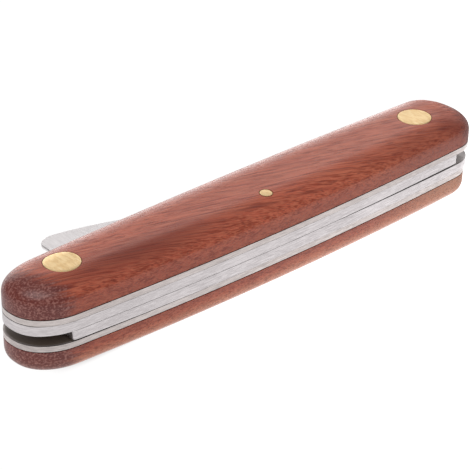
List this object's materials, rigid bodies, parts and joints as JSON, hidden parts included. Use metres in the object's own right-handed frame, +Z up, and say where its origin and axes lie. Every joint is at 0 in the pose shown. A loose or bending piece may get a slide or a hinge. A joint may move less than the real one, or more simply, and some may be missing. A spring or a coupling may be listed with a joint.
{
  "type": "grafting knife",
  "caption": "Folding grafting knife: hardwood scales on steel liners, a budding blade with a bark lifter and a straight grafting blade, each on its own brass pivot and back spring.",
  "frame": {"origin": "middle of the flat land under the lower scale, halfway between the pivot rivets", "axes": "+X along the handle towards the budding blade's pivot, +Y from the back springs to the side the blades open from, +Z up"},
  "size_m": [0.1079, 0.028, 0.0173],
  "materials": {
    "hardwood": "oiled, reddish brown",
    "liner_steel": "satin",
    "spring_steel": "satin",
    "blade_steel": "fine ground",
    "brass": "satin"
  },
  "bodies": {
    "handle": {"upper_scale": "hardwood", "lower_scale": "hardwood", "upper_liner": "liner_steel", "lower_liner": "liner_steel", "budding_spring": "spring_steel", "grafting_spring": "spring_steel", "budding_rivet_stud": "brass", "budding_rivet_sleeve": "brass", "grafting_rivet_stud": "brass", "grafting_rivet_sleeve": "brass", "spring_pin": "brass"},
    "budding_blade": {"budding_blade": "blade_steel"},
    "grafting_blade": {"grafting_blade": "blade_steel"}
  },
  "joints": [
    {"name": "budding_pivot", "type": "hinge", "parent": "handle", "child": "budding_blade", "pos_m": [0.0425, 0, 0.00962], "axis": [0, 0, -1], "range_deg": [0, 180], "deforming": ["budding_spring"]},
    {"name": "grafting_pivot", "type": "hinge", "parent": "handle", "child": "grafting_blade", "pos_m": [-0.0425, 0, 0.00764], "axis": [0, 0, 1], "range_deg": [0, 180], "deforming": ["grafting_spring"]}
  ]
}
